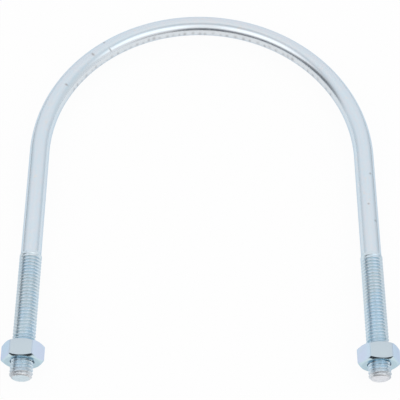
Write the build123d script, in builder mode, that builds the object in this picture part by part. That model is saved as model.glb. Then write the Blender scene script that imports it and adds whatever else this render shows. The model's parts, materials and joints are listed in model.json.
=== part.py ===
from build123d import *
import math
import os

# A pipe u-bolt lying flat. The bend and both legs lie in the XY plane, with the
# origin at the centre of the bend, the legs towards -Y and +Z along the pipe's axis.
# Each leg ends in a rolled M8 thread that carries one plain hexagon nut.
# All sizes are in millimetres.

# The pipe that the bend goes round, and the rod
pipe_diameter = 114.3
pipe_clearance = 0.4
rod_diameter = 7.3

# The legs, from the centre of the bend to their tips. The rod was bent a little off
# its middle, so one leg is longer than the other.
left_leg_length = 91.0
right_leg_length = 89.6

# The thread, M8 x 1.25, rolled on the thinner rod
thread_length = 47.0
pitch = 1.25
crest_radius = 3.95
pitch_radius = 3.58
root_radius = 3.23
flank_slope = math.tan(math.radians(30))
tip_radius = 3.05
run_out_length = 0.6
thread_phase = 25.0

# The nuts, for M8: 13 mm across the flats and 6.5 mm high. Their bores are plain, close
# to the outer radius of a nut's own thread, and run clear over the leg's crests.
nut_across_flats = 13.0
nut_height = 6.5
nut_face_radius = 6.05
nut_chamfer_slope = math.tan(math.radians(30))
nut_bore_radius = 4.04
nut_mouth_radius = 4.375
nut_mouth_slope = math.tan(math.radians(30))
left_nut_stub = 5.8
right_nut_stub = 5.0

# Places worked out from these
rod_radius = rod_diameter / 2
bend_radius = (pipe_diameter + pipe_clearance + rod_diameter) / 2

# How the helical cuts are made: in stretches of whole turns that start some turns
# past the end of the piece and go a little past its surface. At the inner end of a
# leg the cut lifts out of the rod along a cone.
turns_per_stretch = 4
past_end = 2
past_surface = 0.14
run_out_cone = 30.0
run_out_turns = 1.0

os.makedirs("parts", exist_ok=True)


def leg_plane(x, leg_length):
    """The plane across a leg at its tip, with its normal along the leg to the bend."""
    return Plane(origin=(x, -leg_length, 0), x_dir=(1, 0, 0), z_dir=(0, 1, 0))


def groove_outline(inner, outer):
    """The four corners of the thread's groove: radius, and height from its middle."""
    corners = []
    for radius, side in ((inner, -1), (outer, -1), (outer, 1), (inner, 1)):
        half_width = pitch / 4 + flank_slope * (radius - pitch_radius)
        corners.append((radius, side * half_width))
    return corners


def helical_solid(outline, start, turns, last_turns=0):
    """An outline carried round the Z axis from height start, over whole stretches.

    A last stretch on a cone lifts the outline out of the rod where the thread ends.
    """
    stretches = []
    while turns > 0:
        stretches.append((min(turns, turns_per_stretch), 0))
        turns -= turns_per_stretch
    if last_turns:
        stretches.append((last_turns, run_out_cone))
    faces = []
    ends = []
    done = 0
    for stretch_turns, cone in stretches:
        edges = []
        for radius, height in outline:
            edge = Edge.make_helix(
                pitch=pitch,
                height=stretch_turns * pitch,
                radius=radius,
                center=(0, 0, start + done * pitch + height),
                angle=cone,
            )
            edges.append(edge.rotate(Axis.Z, thread_phase + 360 * done))
        for first, second in zip(edges, edges[1:] + edges[:1]):
            faces.append(Face.make_surface_from_curves(first, second))
        ends.append([edge @ 0 for edge in edges])
        ends.append([edge @ 1 for edge in edges])
        done += stretch_turns
    for corners in (ends[0], ends[-1]):
        faces.append(Face(Wire.make_polygon(corners, close=True)))
    return Solid(Shell(faces))


def thread_groove():
    """The helical groove of one leg, standing on the XY plane with the tip at Z = 0."""
    outline = groove_outline(root_radius, crest_radius + past_surface)
    turns = round((thread_length - run_out_length) / pitch) + past_end - 1
    return helical_solid(outline, -past_end * pitch, turns, run_out_turns)


def threaded_end(plane):
    """Adds one threaded end to the part being built, with its tip on the plane."""
    blank = BuildPart(mode=Mode.PRIVATE)
    with blank:
        with BuildSketch(Plane.XZ):
            with BuildLine():
                Polyline(
                    (0, 0),
                    (tip_radius, 0),
                    (crest_radius, crest_radius - tip_radius),
                    (crest_radius, thread_length - run_out_length),
                    (rod_radius, thread_length),
                    (0, thread_length),
                    close=True,
                )
            make_face()
        revolve(axis=Axis.Z)
        add(thread_groove(), mode=Mode.SUBTRACT)
    add(plane.location * blank.part)


# The rod: a half circle between two straight legs, threaded at both ends
with BuildPart() as u_rod:
    left_start = -left_leg_length + thread_length
    right_start = -right_leg_length + thread_length
    with BuildLine() as centreline:
        Line((-bend_radius, left_start), (-bend_radius, 0))
        CenterArc((0, 0), bend_radius, 180, -180)
        Line((bend_radius, 0), (bend_radius, right_start))
    with BuildSketch(Plane(origin=(-bend_radius, left_start, 0), z_dir=(0, 1, 0))):
        Circle(rod_radius)
    sweep(path=centreline.wires()[0])
    threaded_end(leg_plane(-bend_radius, left_leg_length))
    threaded_end(leg_plane(bend_radius, right_leg_length))
u_rod.part.label = "u_rod"
export_step(u_rod.part, "parts/u_rod.step")


def hexagon_nut(bottom):
    """A chamfered nut on the Z axis, whose lower face is at bottom."""
    top = bottom + nut_height
    corner_radius = nut_across_flats / 2 / math.cos(math.radians(30))
    chamfer_height = (corner_radius - nut_face_radius) * nut_chamfer_slope
    mouth_height = (nut_mouth_radius - nut_bore_radius) * nut_mouth_slope
    with BuildPart(mode=Mode.PRIVATE) as nut:
        with BuildSketch(Plane.XY.offset(bottom)):
            RegularPolygon(nut_across_flats / 2, 6, major_radius=False)
        extrude(amount=nut_height)
        with BuildSketch(Plane.XZ):
            with BuildLine():
                Polyline(
                    (0, bottom),
                    (nut_face_radius, bottom),
                    (corner_radius, bottom + chamfer_height),
                    (corner_radius, top - chamfer_height),
                    (nut_face_radius, top),
                    (0, top),
                    close=True,
                )
            make_face()
        revolve(axis=Axis.Z, mode=Mode.INTERSECT)
        with BuildSketch(Plane.XZ):
            with BuildLine():
                Polyline(
                    (0, bottom),
                    (nut_mouth_radius, bottom),
                    (nut_bore_radius, bottom + mouth_height),
                    (nut_bore_radius, top - mouth_height),
                    (nut_mouth_radius, top),
                    (0, top),
                    close=True,
                )
            make_face()
        revolve(axis=Axis.Z, mode=Mode.SUBTRACT)
    return nut.part


# The nuts, each a short way up its leg from the tip
with BuildPart() as left_nut:
    add(leg_plane(-bend_radius, left_leg_length).location * hexagon_nut(left_nut_stub))
left_nut.part.label = "left_nut"
export_step(left_nut.part, "parts/left_nut.step")

with BuildPart() as right_nut:
    add(leg_plane(bend_radius, right_leg_length).location * hexagon_nut(right_nut_stub))
right_nut.part.label = "right_nut"
export_step(right_nut.part, "parts/right_nut.step")
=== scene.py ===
import json
import math

import bmesh
import bpy
import numpy as np
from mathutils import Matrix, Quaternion, Vector


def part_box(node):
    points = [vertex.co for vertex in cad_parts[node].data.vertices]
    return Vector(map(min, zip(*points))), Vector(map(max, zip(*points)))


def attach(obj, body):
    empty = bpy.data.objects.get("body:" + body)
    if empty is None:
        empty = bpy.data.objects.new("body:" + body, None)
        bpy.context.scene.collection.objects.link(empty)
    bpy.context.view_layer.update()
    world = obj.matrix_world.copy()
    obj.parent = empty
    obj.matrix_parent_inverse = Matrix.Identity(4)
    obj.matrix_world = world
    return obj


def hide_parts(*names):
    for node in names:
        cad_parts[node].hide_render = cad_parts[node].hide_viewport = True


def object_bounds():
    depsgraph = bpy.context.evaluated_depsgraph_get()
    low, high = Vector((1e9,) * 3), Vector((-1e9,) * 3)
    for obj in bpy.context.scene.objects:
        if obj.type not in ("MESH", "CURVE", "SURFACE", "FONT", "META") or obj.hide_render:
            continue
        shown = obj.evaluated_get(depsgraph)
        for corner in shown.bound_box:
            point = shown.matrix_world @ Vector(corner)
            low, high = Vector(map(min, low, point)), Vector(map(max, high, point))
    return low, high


# A zinc-plated u-bolt for a pipe, lying flat with its bend to the back and its two
# threaded legs to the front, a hexagon nut on each. Everything is in metres, +Z up.
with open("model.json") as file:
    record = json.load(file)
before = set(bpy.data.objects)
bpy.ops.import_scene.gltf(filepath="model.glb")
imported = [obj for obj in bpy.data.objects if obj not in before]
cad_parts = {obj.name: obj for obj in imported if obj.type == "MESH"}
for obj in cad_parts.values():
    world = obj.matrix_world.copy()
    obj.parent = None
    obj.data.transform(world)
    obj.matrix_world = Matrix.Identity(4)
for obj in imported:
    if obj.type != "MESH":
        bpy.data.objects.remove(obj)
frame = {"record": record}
cad_low, cad_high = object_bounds()
MM = 0.001


def mount_sizes(name):
    """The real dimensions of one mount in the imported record."""
    return next(entry["dims"] for entry in frame["record"]["mounts"] if entry["name"] == name)


# The rod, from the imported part
LEGS = mount_sizes("legs")
BEND_RADIUS = LEGS["spacing_x_mm"] / 2 * MM
ROD_RADIUS = LEGS["stud_r_mm"] * MM
LEFT_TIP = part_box("u_rod")[0].y
LEG_DIFFERENCE = 1.4 * MM
RIGHT_TIP = LEFT_TIP + LEG_DIFFERENCE

# The rolled thread, M8 x 1.25
PITCH = 1.25 * MM
THREAD_LENGTH = 47.0 * MM
FULL_TURNS = 36
CREST_RADIUS = 3.95 * MM
PITCH_RADIUS = 3.58 * MM
ROOT_RADIUS = 3.23 * MM
TIP_RADIUS = 3.05 * MM
TIP_ROUND = 0.16 * MM
RUN_OUT_LENGTH = 0.6 * MM
THREAD_PHASE = 25.0
FLANK_SLOPE = math.tan(math.radians(30))
CORNER_SOFTNESS = 0.16 * MM

# The nuts
NUT_APOTHEM = 6.5 * MM
NUT_FACE_RADIUS = 6.05 * MM
NUT_CHAMFER_SLOPE = math.tan(math.radians(30))
NUT_BORE_RADIUS = 4.04 * MM
NUT_GROOVE_RADIUS = 4.34 * MM
NUT_MOUTH_RADIUS = 4.375 * MM
NUT_MOUTH_DEPTH = 0.12 * MM
NUT_THREAD_FADE = 0.5 * MM
NUT_EDGE_ROUND = 0.09 * MM
NUT_SIDE_ROUND = 0.13 * MM
NUT_CORNER_ROUND = 0.35 * MM

# How fine the meshes are, and the edges that stay sharp
ROD_COLUMNS = 64
ROD_STEP = 1.0 * MM
SMALLEST_STEP = 0.11 * MM
MERGE_DISTANCE = 1e-6
SHARP_ANGLE = math.radians(38)

# The cut faces at the tips: their rings, the waves that make them uneven, in radians
# per metre, which fade in over the outer sixth of the radius, and how deep they are
FACE_RINGS = 15
FACE_WAVES = 14
WAVE_NUMBERS = (900, 3400)
WAVE_GAIN = 2.2
WAVE_FADE = 6
LEFT_FACE_DEPTH = 0.03 * MM
RIGHT_FACE_DEPTH = 0.07 * MM

# How far up from its tip a leg is battered
BATTERED_LENGTH = 2.6 * MM

# The presses of the bending tool: degrees round the bend and from one to the next,
# depth and width along the rod in mm, and place and spread round the rod in degrees
PRESS_START = 30.0
PRESS_END = 152.0
PRESS_SPACING = (2.0, 3.5)
PRESS_DEPTH = (0.025, 0.06)
PRESS_WIDTH = (0.45, 0.75)
PRESS_SECTION = (-16, 6)
PRESS_SPREAD = (10, 18)
DEEPEST_PRESS = PRESS_DEPTH[1] * MM

# Dents from handling, made greyer at their bottoms by painted shade: degrees round the bend
# from the left leg, which go on at the same length down the right leg, degrees round the
# rod from the inside of the bend towards the top, width in mm, and spread round the rod in
# degrees
DENTS = (
    (45.2, 88.0, 0.42, 12.0),
    (28.6, 69.0, 0.36, 9.0),
    (52.0, 50.0, 0.28, 12.0),
    (51.8, 122.0, 0.36, 8.0),
    (188.9, 113.0, 0.34, 6.0),
    (201.2, 87.0, 0.30, 5.0),
    (207.5, 123.0, 0.32, 5.0),
)
DENT_DEPTH = 0.085 * MM

# Where the shank's extra rings are at a press or dent, in widths from its middle
MARK_RINGS = (-1.7, -1.0, -0.5, 0.0, 0.5, 1.0, 1.7)


# ---------------------------------------------------------------- shapes by formula

def soft_min(a, b, softness):
    """The lower of two values, rounded off where they cross."""
    share = np.clip(0.5 + 0.5 * (b - a) / softness, 0, 1)
    return b + (a - b) * share - softness * share * (1 - share)


def soft_max(a, b, softness):
    """The higher of two values, rounded off where they cross."""
    return -soft_min(-a, -b, softness)


def turn_phases():
    """The mesh rows of one turn of thread, in pitches from the middle of the groove.

    They lie close together at the corners of the root and the crest.
    """
    corners = np.array([0.0, 0.07, 0.13, 0.30, 0.49, 0.545]) * MM / PITCH
    return np.concatenate([corners, [0.5], 1 - corners[:0:-1]])


def helix_rows(low, high):
    """Row positions, in pitches, for a thread between two heights above the tip."""
    first = math.floor(low / PITCH) - 1
    last = math.ceil(high / PITCH) + 1
    turns = np.arange(first, last)
    return (turns[:, None] + turn_phases()[None, :]).ravel()


def helix_heights(rows, angles):
    """Height above the tip of every row at every column, and how far on each column is."""
    lead = (np.degrees(angles) - THREAD_PHASE) / 360
    return PITCH * (rows[:, None] + lead[None, :]), lead


def rod_thread_radius(phase):
    """The rod's radius at a phase, in pitches from the middle of its groove."""
    flank = PITCH_RADIUS + (np.abs(phase) * PITCH - PITCH / 4) / FLANK_SLOPE
    rounded = soft_min(flank, CREST_RADIUS, CORNER_SOFTNESS)
    return soft_max(rounded, ROOT_RADIUS, CORNER_SOFTNESS)


def nut_thread_radius(phase):
    """The nut's inner radius at a phase, in pitches from the middle of its tooth.

    Its thread is cut outwards from a bore that clears the leg's crests, so the nut can
    slide without turning.
    """
    middle = (NUT_BORE_RADIUS + NUT_GROOVE_RADIUS) / 2
    flank = middle + (np.abs(phase) * PITCH - PITCH / 4) / FLANK_SLOPE
    rounded = soft_min(flank, NUT_GROOVE_RADIUS, CORNER_SOFTNESS)
    return soft_max(rounded, NUT_BORE_RADIUS, CORNER_SOFTNESS)


# ---------------------------------------------------------------- meshes

def grid_faces(rows, columns, start):
    """The quads of a grid of points whose first point has the number start."""
    index = np.arange(rows * columns).reshape(rows, columns) + start
    quads = [index[:-1, :-1], index[:-1, 1:], index[1:, 1:], index[1:, :-1]]
    return np.stack(quads, -1).reshape(-1, 4)


def closed_mesh(name, grids):
    """One closed mesh object from grids of points that meet along their edges."""
    points = []
    faces = []
    for grid in grids:
        faces.append(grid_faces(grid.shape[0], grid.shape[1], sum(len(p) for p in points)))
        points.append(grid.reshape(-1, 3))
    mesh = bpy.data.meshes.new(name)
    mesh.from_pydata(np.concatenate(points).tolist(), [], np.concatenate(faces).tolist())
    work = bmesh.new()
    work.from_mesh(mesh)
    bmesh.ops.remove_doubles(work, verts=work.verts, dist=MERGE_DISTANCE)
    bmesh.ops.dissolve_degenerate(work, edges=work.edges, dist=MERGE_DISTANCE)
    bmesh.ops.recalc_face_normals(work, faces=work.faces)
    work.to_mesh(mesh)
    work.free()
    mesh.shade_smooth()
    mesh.set_sharp_from_angle(angle=SHARP_ANGLE)
    piece = bpy.data.objects.new(name, mesh)
    bpy.context.scene.collection.objects.link(piece)
    return piece


def place_on_leg(radius, height, angles, leg_x, tip_y):
    """Points round a leg's axis, from their radius and their height above the tip."""
    x = leg_x + radius * np.cos(angles)
    y = tip_y + height + 0 * angles
    z = -radius * np.sin(angles)
    return np.stack([x, y, z], -1)


# ---------------------------------------------------------------- the rod

def leg_outline(height):
    """The radius of a threaded end before its groove is rolled: tip, crests, run-out."""
    outline = (
        (0, TIP_RADIUS - TIP_ROUND),
        (0.3 * TIP_ROUND, TIP_RADIUS - 0.2 * TIP_ROUND),
        (TIP_ROUND, TIP_RADIUS + TIP_ROUND),
        (CREST_RADIUS - TIP_RADIUS, CREST_RADIUS),
        (THREAD_LENGTH - RUN_OUT_LENGTH, CREST_RADIUS),
        (THREAD_LENGTH, ROD_RADIUS),
    )
    heights, radii = zip(*outline)
    return np.interp(height, heights, radii)


def cut_face(angles, depth, seed):
    """The end of the rod, left a little rough by the shears."""
    chance = np.random.default_rng(seed)
    radius = (TIP_RADIUS - TIP_ROUND) * np.linspace(1, 0, FACE_RINGS)[:, None]
    x = radius * np.cos(angles)
    y = radius * np.sin(angles)
    height = 0 * x
    for _ in range(FACE_WAVES):
        heading = chance.uniform(0, 2 * math.pi)
        wave = chance.uniform(*WAVE_NUMBERS)
        crossing = x * math.cos(heading) + y * math.sin(heading)
        height += np.sin(crossing * wave + chance.uniform(0, 6.28)) / FACE_WAVES
    inner = np.clip((1 - radius / radius.max()) * WAVE_FADE, 0, 1)
    return radius, depth * np.maximum(1 + height * WAVE_GAIN, 0) * inner


def threaded_end(leg_x, tip_y, depth, seed):
    """The thread of one leg and the cut face at its tip."""
    angles = np.linspace(0, 2 * math.pi, ROD_COLUMNS + 1)
    rows = helix_rows(0, THREAD_LENGTH)
    height, lead = helix_heights(rows, angles)
    phase = (rows + 0.5) % 1 - 0.5
    turn = rows - phase
    lift = np.clip(turn[:, None] + lead[None, :] - FULL_TURNS, 0, 1) * PITCH * FLANK_SLOPE
    height = np.clip(height, 0, THREAD_LENGTH)
    radius = np.minimum(rod_thread_radius(phase)[:, None] + lift, leg_outline(height))
    thread = place_on_leg(radius, height, angles, leg_x, tip_y)
    face_radius, dish = cut_face(angles, depth, seed)
    end = place_on_leg(face_radius, dish, angles, leg_x, tip_y)
    return [thread, end]


def bend_marks():
    """Every mark in the shank: place along it, place round it, width, spread and depth.

    The bending tool leaves a row of shallow presses round the inside of the bend.
    """
    chance = np.random.default_rng(7)
    marks = []
    angle = PRESS_START
    while angle < PRESS_END:
        depth = chance.uniform(*PRESS_DEPTH) * MM
        width = chance.uniform(*PRESS_WIDTH) * MM
        section = chance.uniform(*PRESS_SECTION)
        marks.append((angle, section, width, chance.uniform(*PRESS_SPREAD), depth))
        angle += chance.uniform(*PRESS_SPACING)
    for angle, section, width, spread in DENTS:
        marks.append((angle, section, width * MM, spread, DENT_DEPTH))
    start = -(LEFT_TIP + THREAD_LENGTH)
    return [(start + math.radians(mark[0]) * BEND_RADIUS, *mark[1:]) for mark in marks]


def shank_rows(length, marks):
    """Where the shank's rings are: evenly spaced, and closer together at the marks."""
    rows = list(np.linspace(0, length, round(length / ROD_STEP) + 1))
    for place, _, width, _, _ in marks:
        rows += [place + width * ring for ring in MARK_RINGS]
    rows.sort()
    kept = [0.0]
    for row in rows:
        if row - kept[-1] > SMALLEST_STEP and length - row > SMALLEST_STEP:
            kept.append(row)
    return np.array(kept + [length])[:, None]


def shank():
    """The plain rod between the threads: up the left leg, round the bend and down again."""
    left = -(LEFT_TIP + THREAD_LENGTH)
    right = -(RIGHT_TIP + THREAD_LENGTH)
    marks = bend_marks()
    path = shank_rows(left + math.pi * BEND_RADIUS + right, marks)
    section = np.linspace(0, 2 * math.pi, ROD_COLUMNS + 1)[None, :]
    bend_angle = np.clip((path - left) / BEND_RADIUS, 0, math.pi)
    before = np.clip(path - left, None, 0)
    after = np.clip(path - left - math.pi * BEND_RADIUS, 0, None)
    radius = ROD_RADIUS + 0 * path + 0 * section
    for place, side, width, spread, depth in marks:
        turned = (np.degrees(-section) - side + 180) % 360 - 180
        radius -= depth * np.exp(-((path - place) / width) ** 2 - (turned / spread) ** 2)
    inward = radius * np.cos(section)
    x = -(BEND_RADIUS - inward) * np.cos(bend_angle)
    y = (BEND_RADIUS - inward) * np.sin(bend_angle) + before - after
    z = -radius * np.sin(section) + 0 * path
    return np.stack([x, y, z], -1)


def make_rod():
    """The whole rod as one closed mesh."""
    grids = [shank()]
    grids += threaded_end(-BEND_RADIUS, LEFT_TIP, LEFT_FACE_DEPTH, seed=3)
    grids += threaded_end(BEND_RADIUS, RIGHT_TIP, RIGHT_FACE_DEPTH, seed=4)
    rod = closed_mesh("rod", grids)
    add_rod_coordinates(rod)
    return rod


def add_rod_coordinates(rod):
    """Stores where each point would be if the rod were straight, and how deep it lies.

    straight: distance along from the left end of the bend, inward offset, height.
    pressed: 1 at the bottom of a tool mark in the shank.
    threaded: 1 on the threaded ends.
    rooted: 1 in the root of the thread, 0 on its crest.
    battered: 1 at the tips, where the shears and the tumbling barrel left them rough.
    """
    mesh = rod.data
    points = np.zeros(len(mesh.vertices) * 3)
    mesh.vertices.foreach_get("co", points)
    x, y, z = points.reshape(-1, 3).T
    on_bend = y > 0
    side = np.where(x < 0, -1.0, 1.0)
    angle = np.arctan2(np.maximum(y, 0), -x)
    along = np.where(on_bend, BEND_RADIUS * angle, side * -y + (side > 0) * math.pi * BEND_RADIUS)
    inward = BEND_RADIUS - np.where(on_bend, np.hypot(x, y), np.abs(x))
    straight = np.stack([along, inward, z], -1).astype(np.float32)
    layer = mesh.attributes.new("straight", "FLOAT_VECTOR", "POINT")
    layer.data.foreach_set("vector", straight.ravel())
    radius = np.hypot(inward, z)
    tip = np.where(x < 0, LEFT_TIP, RIGHT_TIP)
    threaded = y < tip + THREAD_LENGTH
    pressed = np.where(threaded, 0, np.clip((ROD_RADIUS - radius) / DEEPEST_PRESS, 0, 1))
    rooted = np.where(threaded, (CREST_RADIUS - radius) / (CREST_RADIUS - ROOT_RADIUS), 0)
    rooted = np.clip(rooted, 0, 1)
    battered = np.clip(1.25 - (y - tip) / BATTERED_LENGTH, 0, 1)
    layers = {"pressed": pressed, "rooted": rooted, "threaded": threaded, "battered": battered}
    for name, values in layers.items():
        layer = mesh.attributes.new(name, "FLOAT", "POINT")
        layer.data.foreach_set("value", values.astype(np.float32))


# ---------------------------------------------------------------- the nuts

def nut_angles():
    """The mesh columns round a nut, closer together at its six corners."""
    half = np.array([0.0, 0.7, 1.6, 3.0, 6.0, 11.0, 17.0, 23.5])
    sector = np.concatenate([half, [30.0], 60 - half[:0:-1]])
    sectors = [sector + 60 * number for number in range(6)]
    return np.radians(np.concatenate(sectors + [[360.0]]))


def hexagon_radius(angles):
    """The distance from a nut's axis to its sides, with the corners slightly rounded."""
    turned = angles % (math.pi / 3)
    first = NUT_APOTHEM / np.cos(turned - math.pi / 6)
    second = NUT_APOTHEM / np.cos(turned + math.pi / 6)
    third = NUT_APOTHEM / np.cos(turned - math.pi / 2 + 1e-9)
    nearest = soft_min(first, second, NUT_CORNER_ROUND)
    return soft_min(nearest, np.abs(third), NUT_CORNER_ROUND)


def rounded_corners(corners, sizes):
    """Replaces each corner but the first and last with five points along a small arc."""
    points = [corners[0]]
    for before, corner, after, size in zip(corners, corners[1:], corners[2:], sizes):
        to_before = before - corner
        to_after = after - corner
        start = corner + to_before / np.linalg.norm(to_before, axis=-1, keepdims=True) * size
        end = corner + to_after / np.linalg.norm(to_after, axis=-1, keepdims=True) * size
        for share in (0.0, 0.25, 0.5, 0.75, 1.0):
            points.append(
                start * (1 - share) ** 2 + corner * 2 * share * (1 - share) + end * share**2
            )
    return points + [corners[-1]]


def nut_outside(angles, bottom, top):
    """Radius and height of a nut's outside, from the mouth below to the mouth above."""
    side = hexagon_radius(angles)
    chamfer = (side - NUT_FACE_RADIUS) * NUT_CHAMFER_SLOPE
    flat = 0 * angles
    mouth_inner = NUT_MOUTH_RADIUS - NUT_MOUTH_DEPTH / FLANK_SLOPE
    outline = [
        (mouth_inner, bottom + NUT_MOUTH_DEPTH),
        (NUT_MOUTH_RADIUS, bottom),
        (NUT_FACE_RADIUS, bottom),
        (side, bottom + chamfer),
        (side, top - chamfer),
        (NUT_FACE_RADIUS, top),
        (NUT_MOUTH_RADIUS, top),
        (mouth_inner, top - NUT_MOUTH_DEPTH),
    ]
    corners = [np.stack([radius + flat, height + flat], -1) for radius, height in outline]
    sizes = [NUT_EDGE_ROUND, NUT_EDGE_ROUND, NUT_SIDE_ROUND]
    rows = np.stack(rounded_corners(corners, sizes + sizes[::-1]))
    return rows[..., 0], rows[..., 1]


def nut_inside(angles, bottom, top):
    """Radius and height of a nut's bore, whose thread fades in from each mouth."""
    rows = helix_rows(bottom, top)
    height, _ = helix_heights(rows, angles)
    phase = (rows + 0.5) % 1 - 0.5
    height = np.clip(height, bottom + NUT_MOUTH_DEPTH, top - NUT_MOUTH_DEPTH)
    from_face = np.minimum(height - bottom, top - height)
    grown = np.clip((from_face - NUT_MOUTH_DEPTH) / NUT_THREAD_FADE, 0, 1)
    groove = (nut_thread_radius(phase)[:, None] - NUT_BORE_RADIUS) * grown
    mouth = NUT_MOUTH_RADIUS - from_face / FLANK_SLOPE
    return np.maximum(NUT_BORE_RADIUS + groove, mouth), height


def make_nut(name, node, leg_x, tip_y):
    """One nut as a closed mesh, clear of its leg's thread wherever it is on the leg."""
    low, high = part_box(node)
    bottom = low.y - tip_y
    top = high.y - tip_y
    angles = nut_angles()
    sides = [nut_outside(angles, bottom, top), nut_inside(angles, bottom, top)]
    return closed_mesh(name, [
        place_on_leg(radius, height, angles, leg_x, tip_y) for radius, height in sides
    ])


# ---------------------------------------------------------------- node helpers

class Tree:
    """Adds shader nodes with few words."""

    def __init__(self, owner):
        owner.use_nodes = True
        self.tree = owner.node_tree
        self.tree.nodes.clear()

    def node(self, kind, inputs=None, **settings):
        made = self.tree.nodes.new(kind)
        for key, value in settings.items():
            setattr(made, key, value)
        for key, value in (inputs or {}).items():
            self.put(made.inputs[key], value)
        return made

    def put(self, socket, value):
        if isinstance(value, bpy.types.NodeSocket):
            self.tree.links.new(value, socket)
        else:
            socket.default_value = value

    def maths(self, operation, *values):
        made = self.node("ShaderNodeMath", operation=operation)
        for number, value in enumerate(values):
            self.put(made.inputs[number], value)
        return made.outputs[0]

    def step(self, value, low, high):
        """Goes smoothly from 0 at low to 1 at high."""
        inputs = {"Value": value, "From Min": low, "From Max": high}
        made = self.node("ShaderNodeMapRange", inputs, interpolation_type="SMOOTHSTEP")
        return made.outputs["Result"]

    def window(self, value, low, high, soft):
        """1 between low and high, fading to 0 over soft on each side."""
        rise = self.step(value, low - soft, low + soft)
        fall = self.step(value, high + soft, high - soft)
        return self.maths("MULTIPLY", rise, fall)

    def mix(self, share, first, second):
        """A colour between two colours."""
        made = self.node("ShaderNodeMix", data_type="RGBA")
        self.put(made.inputs[0], share)
        for socket, value in ((made.inputs[6], first), (made.inputs[7], second)):
            self.put(socket, value if isinstance(value, bpy.types.NodeSocket) else (*value, 1))
        return made.outputs[2]

    def noise(self, vector, scale, detail=2.0, roughness=0.5):
        inputs = {"Vector": vector, "Scale": scale, "Detail": detail, "Roughness": roughness}
        return self.node("ShaderNodeTexNoise", inputs).outputs["Fac"]


# ---------------------------------------------------------------- materials

def stretched(tree, vector, x, y, z):
    """The coordinates of a texture, each scaled by its own number."""
    made = tree.node("ShaderNodeVectorMath", {0: vector, 1: (x, y, z)}, operation="MULTIPLY")
    return made.outputs[0]


def zinc_shader(tree, colour, place, roughness, edge_tint, bump_strength, battered=0.0):
    """A bright plated metal with fine grain along x, and finer scuffs across it.

    Where it is battered it is rougher and pitted.
    """
    fine = tree.noise(stretched(tree, place, 220, 1500, 1500), 1.0, 3.0)
    across = tree.noise(stretched(tree, place, 2600, 500, 500), 1.0, 2.0)
    pits = tree.noise(place, 1500, 3.0, 0.65)
    gloss = tree.maths("MULTIPLY_ADD", fine, 0.10, tree.maths("SUBTRACT", roughness, 0.05))
    gloss = tree.maths("MULTIPLY_ADD", across, 0.05, gloss)
    gloss = tree.maths("MULTIPLY_ADD", battered, 0.22, gloss)
    height = tree.maths("MULTIPLY_ADD", across, 0.6, fine)
    height = tree.maths("MULTIPLY_ADD", tree.maths("MULTIPLY", pits, battered), 14.0, height)
    bump = {"Strength": bump_strength, "Distance": 0.02 * MM, "Height": height}
    inputs = {
        "Base Color": colour,
        "Metallic": 1.0,
        "Roughness": gloss,
        "Specular Tint": (*edge_tint, 1),
        "Normal": tree.node("ShaderNodeBump", bump).outputs[0],
    }
    shader = tree.node("ShaderNodeBsdfPrincipled", inputs)
    tree.node("ShaderNodeOutputMaterial", {"Surface": shader.outputs[0]})


def attribute(tree, name, output):
    return tree.node("ShaderNodeAttribute", attribute_name=name).outputs[output]


# The rod's colours
SHANK_BLUE = (0.68, 0.785, 0.86)
SHANK_NEUTRAL = (0.725, 0.775, 0.825)
SHANK_CLOUD = (0.70, 0.775, 0.83)
MOTTLE_BLUE = (0.645, 0.79, 0.875)
MOTTLE_GREY = (0.76, 0.775, 0.825)
WARM_FLECK = (0.80, 0.755, 0.71)
BEND_INSIDE = (0.755, 0.785, 0.81)
# Painted shade at the bottom of the presses and dents
PRESSED_SHADE = (0.47, 0.48, 0.50)
THREAD_BLUE = (0.665, 0.80, 0.895)
THREAD_PALE = (0.72, 0.81, 0.855)
# Painted shade on the threads: greyer on the outer side, darker in the roots, most at the sides
THREAD_OUTER_SHADE = (0.52, 0.60, 0.66)
ROOT_SHADE_TOP = (0.53, 0.65, 0.72)
ROOT_SHADE_SIDE = (0.40, 0.49, 0.56)
TIP_DARK = (0.56, 0.57, 0.59)
TIP_BRIGHT = (0.89, 0.90, 0.91)
# Painted shade on the outer side of the tips
TIP_OUTER_SHADE = (0.50, 0.51, 0.53)
LEFT_CUT = (0.72, 0.85, 0.90)
RIGHT_CUT = (0.95, 0.91, 0.915)
ROD_EDGE_TINT = (0.74, 0.82, 0.90)

# The nuts' colours
# Painted shade on the nuts' top and bottom flats and in the bore
FLATS_AND_BORE_SHADE = (0.565, 0.665, 0.735)
SIDE_CYAN = (0.60, 0.75, 0.87)
SIDE_LAVENDER = (0.62, 0.70, 0.86)
NUT_CLOUD = (0.62, 0.74, 0.77)
# Painted reflection tint on the chamfers, and painted shade on the end faces
CHAMFER_REFLECTION = (0.61, 0.76, 0.815)
END_FACE_SHADE = (0.555, 0.70, 0.755)
# Wear and a painted highlight along the nuts' edges
EDGE_WEAR_AND_HIGHLIGHT = (0.82, 0.83, 0.85)
# Painted shade in the nuts' hollows
HOLLOW_SHADE = (0.32, 0.38, 0.44)
NUT_EDGE_TINT = (0.72, 0.80, 0.88)

# The crown of the bend, along the straightened rod
CROWN = BEND_RADIUS * math.pi / 2


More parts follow.
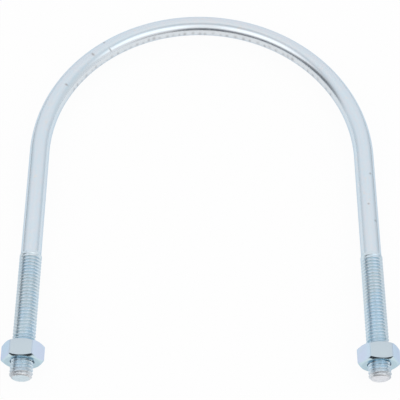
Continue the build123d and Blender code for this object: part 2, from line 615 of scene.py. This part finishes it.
def shank_colour(tree, place, parts, cloud):
    """Pale blue, more neutral round the crown, mottled, and grey where it was pressed, as painted
    shade at the bottom of each press and dent.
    """
    patch = tree.noise(place, 38, 1.0)
    near_crown = tree.window(parts["X"], CROWN - 22 * MM, CROWN + 50 * MM, 30 * MM)
    neutral = tree.maths("ADD", tree.maths("MULTIPLY_ADD", patch, 1.2, -0.6), near_crown)
    colour = tree.mix(neutral, SHANK_BLUE, SHANK_NEUTRAL)
    colour = tree.mix(tree.step(cloud, 0.50, 0.85), colour, SHANK_CLOUD)
    mottle = tree.noise(stretched(tree, place, 0.45, 1, 1), 900, 3.0, 0.6)
    mottled = tree.mix(tree.step(mottle, 0.35, 0.65), MOTTLE_BLUE, MOTTLE_GREY)
    colour = tree.mix(0.35, colour, mottled)
    fleck = tree.step(tree.noise(place, 430, 2.0), 0.64, 0.76)
    colour = tree.mix(tree.maths("MULTIPLY", fleck, 0.45), colour, WARM_FLECK)
    on_bend = tree.window(parts["X"], 0.25 * CROWN, 1.75 * CROWN, 12 * MM)
    inner = tree.step(parts["Y"], 0.45 * ROD_RADIUS, 0.85 * ROD_RADIUS)
    inside = tree.maths("MULTIPLY", on_bend, inner)
    colour = tree.mix(tree.maths("MULTIPLY", inside, 0.7), colour, BEND_INSIDE)
    # Painted shade: the deeper a press or dent, the greyer its bottom
    return tree.mix(attribute(tree, "pressed", "Fac"), colour, PRESSED_SHADE)


def thread_colour(tree, shank, outer, cloud):
    """Bluer than the shank, with painted shade making the outer side greyer and the roots darker,
    most of all at the sides.
    """
    threaded = attribute(tree, "threaded", "Fac")
    thread = tree.mix(tree.step(cloud, 0.35, 0.65), THREAD_BLUE, THREAD_PALE)
    colour = tree.mix(threaded, shank, thread)
    # Painted shade: the outer side of each thread is made greyer
    outer_shade = tree.maths("MULTIPLY", tree.step(outer, 2.0 * MM, 3.8 * MM), threaded)
    colour = tree.mix(tree.maths("MULTIPLY", outer_shade, 0.5), colour, THREAD_OUTER_SHADE)
    # Painted shade in the thread roots, darker towards the sides of the leg
    beside = tree.step(tree.maths("ABSOLUTE", outer), 1.9 * MM, 3.4 * MM)
    share = tree.maths("MULTIPLY_ADD", beside, 0.30, 0.24)
    root = tree.maths("MULTIPLY", attribute(tree, "rooted", "Fac"), share)
    return tree.mix(root, colour, tree.mix(beside, ROOT_SHADE_TOP, ROOT_SHADE_SIDE))


def tip_colour(tree, place, parts, outer):
    """Speckled where the tumbling barrel struck, darker on the outer side as painted shade, with
    a paler face where it was cut.
    """
    speckle = tree.noise(place, 1500, 4.0, 0.7)
    rough = tree.mix(tree.step(speckle, 0.28, 0.62), TIP_DARK, TIP_BRIGHT)
    # Painted shade: the outer side of the tip is darker
    outer_tip_shade = tree.maths("MULTIPLY", tree.step(outer, 1.6 * MM, 3.4 * MM), 0.55)
    rough = tree.mix(outer_tip_shade, rough, TIP_OUTER_SHADE)
    normal = tree.node("ShaderNodeNewGeometry").outputs["Normal"]
    facing = tree.node("ShaderNodeSeparateXYZ", {0: normal}).outputs["Y"]
    endwards = tree.step(tree.maths("ABSOLUTE", facing), 0.85, 0.97)
    on_right = tree.step(parts["X"], 0.5 * CROWN, 1.5 * CROWN)
    cut = tree.mix(on_right, LEFT_CUT, RIGHT_CUT)
    return tree.mix(tree.maths("MULTIPLY", endwards, 0.60), rough, cut)


def rod_zinc():
    """The rod's zinc, laid out along the straightened rod: shank, threads and tips."""
    material = bpy.data.materials.new("bright_zinc_rod")
    tree = Tree(material)
    place = attribute(tree, "straight", "Vector")
    parts = tree.node("ShaderNodeSeparateXYZ", {0: place}).outputs
    outer = tree.maths("SUBTRACT", 0.0, parts["Y"])
    cloud = tree.noise(place, 160, 2.0)
    colour = shank_colour(tree, place, parts, cloud)
    colour = thread_colour(tree, colour, outer, cloud)
    battered = attribute(tree, "battered", "Fac")
    tips = tip_colour(tree, place, parts, outer)
    colour = tree.mix(tree.maths("MULTIPLY", battered, 0.85), colour, tips)
    zinc_shader(tree, colour, place, 0.20, ROD_EDGE_TINT, 0.10, battered)
    return material


def nut_zinc():
    """The nuts' zinc: a little darker, tinted by the way each face turns, with painted reflection
    on the chamfers and painted shade on the end faces, the top and bottom flats and the hollows,
    and rubbed edges carrying a painted highlight.
    """
    material = bpy.data.materials.new("bright_zinc_nut")
    tree = Tree(material)
    place = tree.node("ShaderNodeTexCoord").outputs["Object"]
    parts = tree.node("ShaderNodeSeparateXYZ", {0: place}).outputs
    from_axis = tree.maths("ABSOLUTE", parts["X"])
    from_axis = tree.maths("ABSOLUTE", tree.maths("SUBTRACT", from_axis, BEND_RADIUS))
    on_side = tree.step(from_axis, 3.3 * MM, 4.2 * MM)
    cloud = tree.noise(place, 190, 2.0)
    patch = tree.noise(place, 75, 1.0)
    side = tree.mix(tree.step(patch, 0.35, 0.65), SIDE_CYAN, SIDE_LAVENDER)
    # Painted shade: the top and bottom flats and the bore, near the axis across x, are greyer
    # than the side flats
    colour = tree.mix(on_side, FLATS_AND_BORE_SHADE, side)
    colour = tree.mix(tree.step(cloud, 0.55, 0.80), colour, NUT_CLOUD)
    geometry = tree.node("ShaderNodeNewGeometry").outputs
    facing = tree.node("ShaderNodeSeparateXYZ", {0: geometry["Normal"]}).outputs["Y"]
    endwards = tree.maths("ABSOLUTE", facing)
    # Painted reflection and shade by the way each face turns: chamfers tinted, end faces darker
    colour = tree.mix(tree.step(endwards, 0.50, 0.80), colour, CHAMFER_REFLECTION)
    colour = tree.mix(tree.step(endwards, 0.90, 0.98), colour, END_FACE_SHADE)
    on_chamfer = tree.window(endwards, 0.70, 0.93, 0.04)
    roughness = tree.maths("MULTIPLY_ADD", on_chamfer, -0.08, 0.18)
    pointed = geometry["Pointiness"]
    # Wear and a painted highlight on the sharp outer edges
    colour = tree.mix(tree.step(pointed, 0.52, 0.60), colour, EDGE_WEAR_AND_HIGHLIGHT)
    # Painted shade in hollows, where the surface curves inwards
    painted_hollow_shade = tree.maths("MULTIPLY", tree.step(pointed, 0.485, 0.43), 0.45)
    colour = tree.mix(painted_hollow_shade, colour, HOLLOW_SHADE)
    zinc_shader(tree, colour, place, roughness, NUT_EDGE_TINT, 0.12)
    return material


# ---------------------------------------------------------------- stage, light, camera

# The share of the floor's light that is reflected, not its own, in the camera's view
# and in everything else
FLOOR_SEEN_SHARE = 0.06
FLOOR_LIT_SHARE = 0.32

# The grey cards on the floor: how far they are from the object, and their greys
CARD_LIFT = 0.3 * MM
CARD_FRONT_GAP = 29 * MM
CARD_SIDE_GAP = 40 * MM
FRONT_CARD = (0.04, 0.04, 0.045, 1)
LEFT_CARD = (0.37, 0.37, 0.38, 1)
RIGHT_CARD = (0.43, 0.43, 0.44, 1)

# The white room, and soft patches painted on it one over the other: their sides and
# heights in degrees, each with the softness of its edges, and their colour. Sides are
# from the front (-Y) with the right (+X) positive, and heights are from the floor.
ROOM = (0.93, 0.915, 0.925)
MIRRORED_PATCHES = (
    ((145, 181), 12, (60, 91), 8, (1.0, 0.975, 0.955)),  # high at the back
    ((104, 132), 12, (-30, 22), 16, (0.70, 0.72, 0.74)),  # low, a little behind the sides
)
PATCHES = (
    ((66, 108), 8, (4, 91), 8, (0.77, 0.80, 0.82)),  # right wall
    ((-110, 76), 12, (72, 91), 4, (0.64, 0.66, 0.68)),  # ceiling
    ((-96, -80), 6, (-3, 91), 6, (0.62, 0.64, 0.66)),  # left wall
    ((12, 42), 8, (-3, 14), 6, (0.48, 0.47, 0.48)),  # low at the front, to the right
    ((-92, 15), 6, (-4, 22), 4, (0.26, 0.27, 0.295)),  # gap under the softbox
    ((-12, 12), 6, (0, 28), 4, (0.13, 0.145, 0.17)),  # its darker middle
    ((-88, -62), 6, (0, 31), 5, (0.18, 0.19, 0.205)),  # its darker left end
    ((-66, 70), 9, (31, 62), 5, (1.40, 1.40, 1.40)),  # softbox
    ((-12, 10), 6, (31, 62), 5, (0.99, 1.0, 1.0)),  # its dimmer middle
    ((-45, 18), 8, (-3, 4), 3, (0.03, 0.03, 0.035)),  # dark strip on the horizon
)
BACKDROP_SEEN = (0.95, 0.955, 0.96, 1)


def flat_sheet(name, low, high, level, shader_of):
    """A flat rectangle of the stage at one height, with its shader."""
    mesh = bpy.data.meshes.new(name)
    corners = [(low[0], low[1], level), (high[0], low[1], level)]
    corners += [(high[0], high[1], level), (low[0], high[1], level)]
    mesh.from_pydata(corners, [], [(0, 1, 2, 3)])
    sheet = bpy.data.objects.new(name, mesh)
    bpy.context.scene.collection.objects.link(sheet)
    material = bpy.data.materials.new(name)
    tree = Tree(material)
    tree.node("ShaderNodeOutputMaterial", {"Surface": shader_of(tree)})
    mesh.materials.append(material)
    return sheet


def floor_shader(tree):
    """White paper, lit so brightly that the camera hardly sees a shadow on it."""
    glow = tree.node("ShaderNodeEmission", {"Color": (1, 1, 1, 1), "Strength": 1.0})
    paper = tree.node("ShaderNodeBsdfDiffuse", {"Color": (0.93, 0.925, 0.92, 1)})
    to_camera = tree.node("ShaderNodeLightPath").outputs["Is Camera Ray"]
    difference = FLOOR_SEEN_SHARE - FLOOR_LIT_SHARE
    share = tree.maths("MULTIPLY_ADD", to_camera, difference, FLOOR_LIT_SHARE)
    both = tree.node("ShaderNodeMixShader", {0: share, 1: glow.outputs[0], 2: paper.outputs[0]})
    return both.outputs[0]


def card_shader(grey):
    """A card of one plain grey that needs no light."""
    def shader(tree):
        return tree.node("ShaderNodeEmission", {"Color": grey}).outputs[0]
    return shader


def make_floor():
    """A plain pale floor with grey cards on it round the object, seen only in reflections.

    A card is given by two opposite corners, in metres.
    """
    flat_sheet("floor", (-3, -3), (3, 3), cad_low.z, floor_shader)
    level = cad_low.z + CARD_LIFT
    near = cad_low.y - CARD_FRONT_GAP
    beside = cad_high.x + CARD_SIDE_GAP
    cards = (
        ("front_card", (-0.6, near - 1.2), (0.45, near), FRONT_CARD),
        ("left_card", (-beside - 0.4, near), (-beside, 0.3), LEFT_CARD),
        ("right_card", (beside, near), (beside + 0.4, 0.3), RIGHT_CARD),
    )
    for name, low, high, grey in cards:
        card = flat_sheet(name, low, high, level, card_shader(grey))
        card.visible_camera = False
        card.visible_shadow = False
        card.visible_diffuse = False


def make_light():
    """A soft white room with one wide softbox in front and a narrow dark gap under it."""
    world = bpy.data.worlds.new("studio")
    bpy.context.scene.world = world
    tree = Tree(world)
    towards = tree.node("ShaderNodeTexCoord").outputs["Generated"]
    parts = tree.node("ShaderNodeSeparateXYZ", {0: towards}).outputs
    up = tree.maths("MULTIPLY", tree.maths("ARCSINE", parts["Z"]), 180 / math.pi)
    front = tree.maths("MULTIPLY", parts["Y"], -1.0)
    side = tree.maths("MULTIPLY", tree.maths("ARCTAN2", parts["X"], front), 180 / math.pi)
    off_front = tree.maths("ABSOLUTE", side)

    colour = ROOM
    for direction, patches in ((off_front, MIRRORED_PATCHES), (side, PATCHES)):
        for sides, sides_soft, heights, heights_soft, tone in patches:
            across = tree.window(direction, *sides, sides_soft)
            upright = tree.window(up, *heights, heights_soft)
            colour = tree.mix(tree.maths("MULTIPLY", across, upright), colour, tone)

    lit = tree.node("ShaderNodeBackground", {"Color": colour, "Strength": 1.0})
    seen = tree.node("ShaderNodeBackground", {"Color": BACKDROP_SEEN, "Strength": 1.0})
    to_camera = tree.node("ShaderNodeLightPath").outputs["Is Camera Ray"]
    both = tree.node("ShaderNodeMixShader", {0: to_camera, 1: lit.outputs[0], 2: seen.outputs[0]})
    tree.node("ShaderNodeOutputWorld", {"Surface": both.outputs[0]})


def make_camera():
    """A long lens from in front, high over the legs."""
    azimuth = math.radians(2.0)
    elevation = math.radians(59.6)
    roll = math.radians(2.6)
    distance = 449.9 * MM
    target = Vector((-0.7, -20.0, 0.0)) * MM
    forward = Vector((
        math.sin(azimuth) * math.cos(elevation),
        math.cos(azimuth) * math.cos(elevation),
        -math.sin(elevation),
    ))
    camera = bpy.data.cameras.new("camera")
    camera.lens = 110.0
    camera.sensor_width = 36.0
    camera.clip_start = 0.01
    holder = bpy.data.objects.new("camera", camera)
    bpy.context.scene.collection.objects.link(holder)
    holder.rotation_mode = "QUATERNION"
    turn = forward.to_track_quat("-Z", "Y")
    holder.rotation_quaternion = turn @ Quaternion((0, 0, 1), roll)
    holder.location = target - forward * distance
    bpy.context.scene.camera = holder


# ---------------------------------------------------------------- the scene

def add_piece(piece, body, material):
    """Gives a piece its material and puts it on its body in place of the CAD node."""
    piece.data.materials.append(material)
    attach(piece, body)
    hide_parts(body)


bpy.context.scene.view_settings.view_transform = "Standard"
make_camera()
make_light()
make_floor()
add_piece(make_rod(), "u_rod", rod_zinc())
nut_material = nut_zinc()
for name, body, leg_x, tip_y in (
    ("left_hexagon_nut", "left_nut", -BEND_RADIUS, LEFT_TIP),
    ("right_hexagon_nut", "right_nut", BEND_RADIUS, RIGHT_TIP),
):
    add_piece(make_nut(name, body, leg_x, tip_y), body, nut_material)
